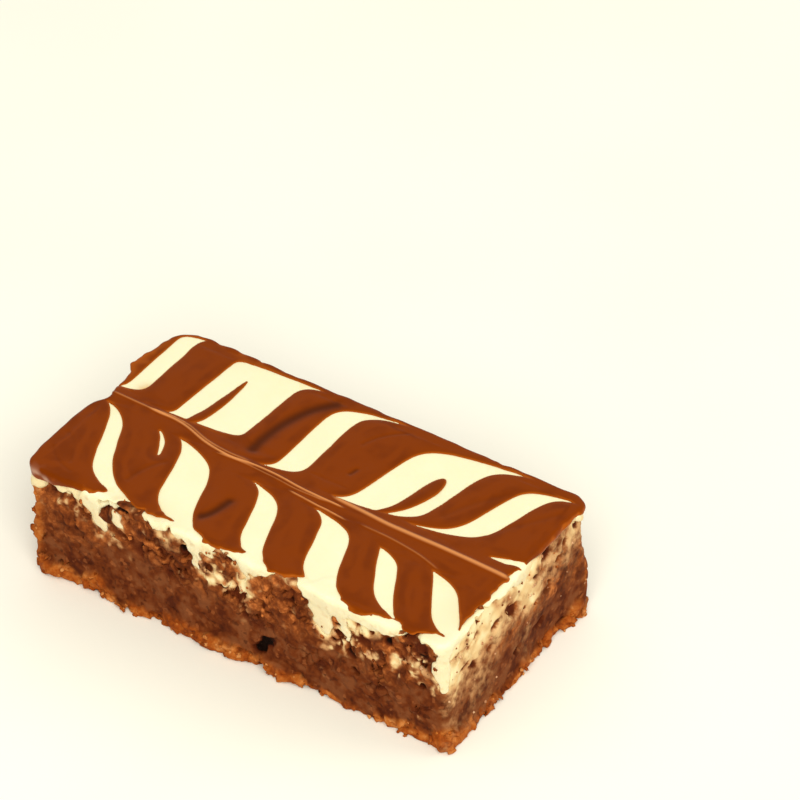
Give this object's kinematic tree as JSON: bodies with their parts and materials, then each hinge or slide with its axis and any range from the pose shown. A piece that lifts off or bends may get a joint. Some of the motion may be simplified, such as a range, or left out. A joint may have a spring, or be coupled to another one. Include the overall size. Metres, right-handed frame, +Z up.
{
  "type": "brownie",
  "caption": "Rectangular fudgy brownie bar with crumbly cut sides under a layer of pale cream icing, its top feathered with chocolate.",
  "frame": {"origin": "middle of the underside of the bar", "axes": "+X along the bar, +Y across it from the front side to the back, +Z up through the icing"},
  "size_m": [0.078, 0.0398, 0.0222],
  "materials": {
    "cake": "matt, moist brown crumb with a browned rim at the foot",
    "icing": "smooth pale cream with a soft sheen",
    "chocolate": "set milk chocolate with a satin sheen"
  },
  "bodies": {
    "root": {"brownie_base": "cake", "icing": "icing"}
  },
  "joints": []
}
